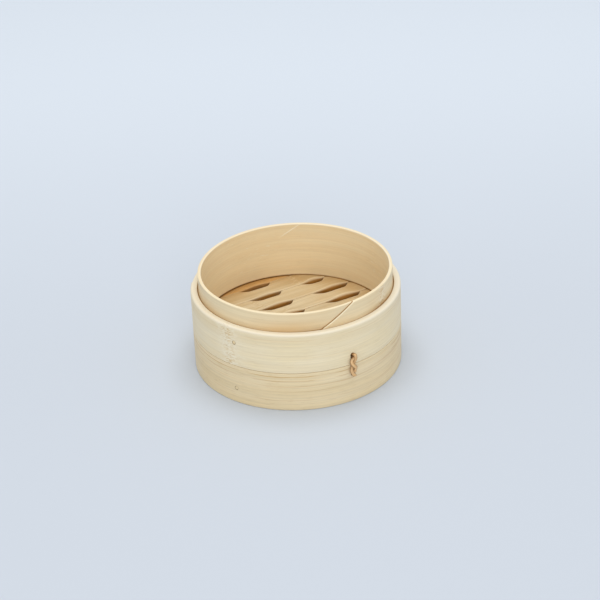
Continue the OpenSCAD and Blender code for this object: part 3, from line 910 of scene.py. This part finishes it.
def smoothPath(points, count):
    # Catmull-Rom curve through given points, evenly spaced along its length
    points = np.array(points)
    ends = np.vstack([2 * points[0] - points[1], points, 2 * points[-1] - points[-2]])
    t = np.linspace(0, 1, 24, endpoint=False)[:, None]
    pieces = [0.5 * (2 * b + (c - a) * t + (2 * a - 5 * b + 4 * c - d) * t ** 2
                     + (3 * b - a - 3 * c + d) * t ** 3)
              for a, b, c, d in zip(ends[:-3], ends[1:-2], ends[2:-1], ends[3:])]
    curve = np.vstack(pieces + [points[-1:]])
    length = np.concatenate([[0], np.cumsum(np.linalg.norm(np.diff(curve, axis=0), axis=1))])
    even = np.linspace(0, length[-1], count)
    return np.column_stack([np.interp(even, length, curve[:, k]) for k in range(3)]), even


def makeStitch():
    # One cane, twice through each hole. Route in (distance from axis, sideways, height):
    # tail inside, out, a twist down the front, in, up inside, out, a second twist, in, tail.
    s = stitch
    faceR = baseR + s["thickness"] * 0.9
    inside = ringInR - 1.5 * mm
    middle = (s["top"] + s["low"]) / 2

    def twist(start):
        # a little under one turn down the face, b from start + lag to start + 360 - lag: swing sin b
        # sideways, and cross cos b in and out, less so near the holes
        t = np.linspace(0, 1, 17)
        turn = np.radians(start + s["lag"] + (360 - 2 * s["lag"]) * t)
        hump = np.sin(np.pi * t) ** 0.5
        depth = faceR + s["proud"] + s["cross"] * np.cos(turn) * (0.4 + 0.6 * hump)
        level = math.cos(math.radians(start)) * s["apart"] * (1 - 2 * smooth(t))
        height = s["top"] - (s["top"] - s["low"]) * t + level
        return np.column_stack([depth, s["swing"] * np.sin(turn) + s["shift"] * hump, height])

    def through(level, height, inward):
        spots = [inside + 1.2 * mm, bandInR, baseR - 0.4 * mm]
        spots = spots[::-1] if inward else spots
        return np.array([(x, 0, height + level * s["apart"]) for x in spots])

    side = 1.3 * mm
    route = np.vstack([
        [(inside, -side, middle + 2 * mm), (inside, -side, s["top"] - 1 * mm)],
        through(1, s["top"], False), twist(0), through(-1, s["low"], True),
        [(inside, side, s["low"] + 1.5 * mm), (inside, side, middle), (inside, side, s["top"] - 2.4 * mm)],
        through(-1, s["top"], False), twist(180), through(1, s["low"], True),
        [(inside, -side, s["low"] + 2.6 * mm), (inside, -side, middle - 2 * mm)],
    ])
    path, length = smoothPath(route, s["samples"])
    world = (path[:, :1] * outward(s["azimuth"]) + path[:, 1:2] * sideways(s["azimuth"])
             + path[:, 2:] * np.array([0, 0, 1.0]))
    across = np.broadcast_to(sideways(s["azimuth"]), world.shape)
    points, turn = tubeSurface(world, across, s["width"], s["thickness"])
    grain = np.stack(np.broadcast_arrays(length[None, :], 0.2, turn[:, None] * s["width"]), -1)
    # painted shade: the skin darkens towards the wall and the holes, and along its two edges
    depth = points @ outward(s["azimuth"])
    wallShade = 1 - smooth((depth - baseR - 0.4 * mm) / (1.2 * mm))
    edges = np.abs(np.cos(turn))[:, None] ** 4 * 0.9
    piece = addPiece("caneStitchLace", points, grain, "caneSkin", {"sawnAndShaded": np.maximum(wallShade, edges)},
                     columnsClose=False, angle=60)
    return settle(piece, "cane_stitch")


def pinSurface(azimuth, height, radius, start, end, dome, sides=28):
    # short rod along the outward direction: distances and radii of its rings, a flat inner end,
    # and a dome on the outer one, end - dome (1 - cos b) at radius sin b
    turn = np.linspace(0, 2 * np.pi, sides, endpoint=False)
    bend = np.linspace(np.pi / 2, 0.01, 7)
    distance = np.concatenate([[start, start], np.linspace(start + 0.1 * mm, end - 0.3 * mm, 4),
                               end - dome * (1 - np.cos(bend))])
    size = np.concatenate([[0.02, 0.96], np.ones(4), 0.97 * np.sin(bend)])
    out, side, up = outward(azimuth), sideways(azimuth), np.array([0, 0, 1.0])
    disc = np.cos(turn)[:, None, None] * side + np.sin(turn)[:, None, None] * up
    centre = distance[:, None] * out + height * up
    return centre[None] + radius * size[None, :, None] * disc, distance


def makePin(name, azimuth, height, start, end):
    points, distance = pinSurface(azimuth, height, pins["radius"], start, end, pins["dome"])
    relative = points - (distance[:, None] * outward(azimuth))[None]
    grain = np.stack([0 * relative[..., 2] + distance, relative @ sideways(azimuth), relative[..., 2]], -1)
    # the shaft, inside its hole, is dark brown: painted shade
    marks = {"sawnAndShaded": distance < end - 0.2 * mm}
    return addPiece(name, points, grain, "pinBamboo", marks, columnsClose=False)


def makePins():
    # one pin through each band, and four short ones that hold the hoop from inside
    for name, node, height in (("upperPin", "upper_band_pin", seamZ + pins["rise"]),
                               ("lowerPin", "lower_band_pin", seamZ - pins["rise"])):
        settle(makePin(name, pins["azimuth"], height, socketR + 0.1 * mm, baseR - 0.02 * mm), node)
    hoopPinZ = (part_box("hoop_pins")[0].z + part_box("hoop_pins")[1].z) / 2
    start, end = -(bandInR + 1 * mm), -(hoopInR - 0.05 * mm)      # their heads face the axis
    made = [makePin(f"hoopPin{k + 1}", azimuth + 180, hoopPinZ, start, end)
            for k, azimuth in enumerate(pins["hoopAzimuths"])]
    for pin in made:
        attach(pin, "root")
    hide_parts("hoop_pins")


makeUpperBand()
makeLowerBand()
print("outer bands made")
makeInnerRing()
print("inner ring made")
makeFloor()
print("floor made")
for number, (node, u) in enumerate(crossbars.items()):
    makeCrossbar(f"crossbarSplit{number + 1}", node, u, 41 + number)
makeSupportHoop()
print("crossbars and hoop made")
makeStitch()
makePins()
print("stitch and pins made")


# Stage, lights and camera
# the table's near colour is darker than the far one: painted shade towards the camera
stage = {"size": 6.0, "near": "c6cdd6", "far": "d4dce5", "farAt": 0.5, "world": (0.95, 0.97, 1.0),
         "worldStrength": 0.68}


def makeStage():
    # a table top whose colour goes from darker near the camera to lighter far off along Y, a painted shade,
    # and an even sky
    half = stage["size"] / 2
    mesh = bpy.data.meshes.new("tableTop")
    corners = [(-half, -half, 0), (half, -half, 0), (half, half, 0), (-half, half, 0)]
    mesh.from_pydata(corners, [], [(0, 1, 2, 3)])
    table = bpy.data.objects.new("tableTop", mesh)
    bpy.context.scene.collection.objects.link(table)
    material, tree = newMaterial("paleTable")
    place = objectPlace(tree)
    depth = tree.add("ShaderNodeSeparateXYZ", {}, {0: place}, "Y")
    cloud = tree.add("ShaderNodeTexNoise", {}, {"Vector": place, "Scale": 3.0, "Detail": 2.0})
    share = between(depth + cloud * 0.05, 0.0, stage["farAt"])
    colour = mixColour(tree, share, linear(stage["near"]), linear(stage["far"]))
    addShader(tree, {"Base Color": colour, "Roughness": 0.75, "Specular IOR Level": 0.2})
    mesh.materials.append(material)
    world = bpy.data.worlds.new("studio")
    bpy.context.scene.world = world
    world.use_nodes = True
    back = world.node_tree.nodes["Background"]
    back.inputs["Color"].default_value = (*stage["world"], 1)
    back.inputs["Strength"].default_value = stage["worldStrength"]


lights = {
    "frontLight": {"place": (0.15, -2.3, 1.1), "target": (0, 0, 0.02), "size": 1.5, "power": 19.0,
                   "colour": (1.0, 0.985, 0.96)},
    "topLight": {"place": (0.0, 0.2, 1.78), "target": (0, 0.1, 0.02), "size": 1.3, "power": 15.0,
                 "colour": (1.0, 0.99, 0.975)},
}


def addLight(name, light):
    # square soft light at a place, turned to its target
    data = bpy.data.lights.new(name, "AREA")
    data.shape = "SQUARE"
    data.size = light["size"]
    data.energy = light["power"]
    data.color = light["colour"]
    lamp = bpy.data.objects.new(name, data)
    lamp.location = light["place"]
    facing = Vector(light["target"]) - Vector(light["place"])
    lamp.rotation_euler = facing.to_track_quat("-Z", "Y").to_euler()
    bpy.context.scene.collection.objects.link(lamp)


camera = {"target": (0, 0, 0.025), "distance": 1.0, "elevation": 29.62, "roll": -2.45, "lens": 108.74,
          "shiftX": 0.0052, "shiftY": 0.02695}


def makeCamera():
    # on a circle in the front plane, looking at the target, then rolled about its own view line
    lift = math.radians(camera["elevation"])
    target = Vector(camera["target"])
    place = target + camera["distance"] * Vector((0, -math.cos(lift), math.sin(lift)))
    data = bpy.data.cameras.new("camera")
    data.lens = camera["lens"]
    data.sensor_width = 36
    data.shift_x = camera["shiftX"]
    data.shift_y = camera["shiftY"]
    data.clip_start = 0.01
    eye = bpy.data.objects.new("camera", data)
    facing = (target - place).to_track_quat("-Z", "Y").to_matrix().to_4x4()
    roll = Matrix.Rotation(math.radians(camera["roll"]), 4, "Z")
    eye.matrix_world = Matrix.Translation(place) @ facing @ roll
    bpy.context.scene.collection.objects.link(eye)
    bpy.context.scene.camera = eye


makeStage()
for name, light in lights.items():
    addLight(name, light)
makeCamera()
bpy.context.scene.view_settings.view_transform = "Standard"
print("stage, lights and camera made")
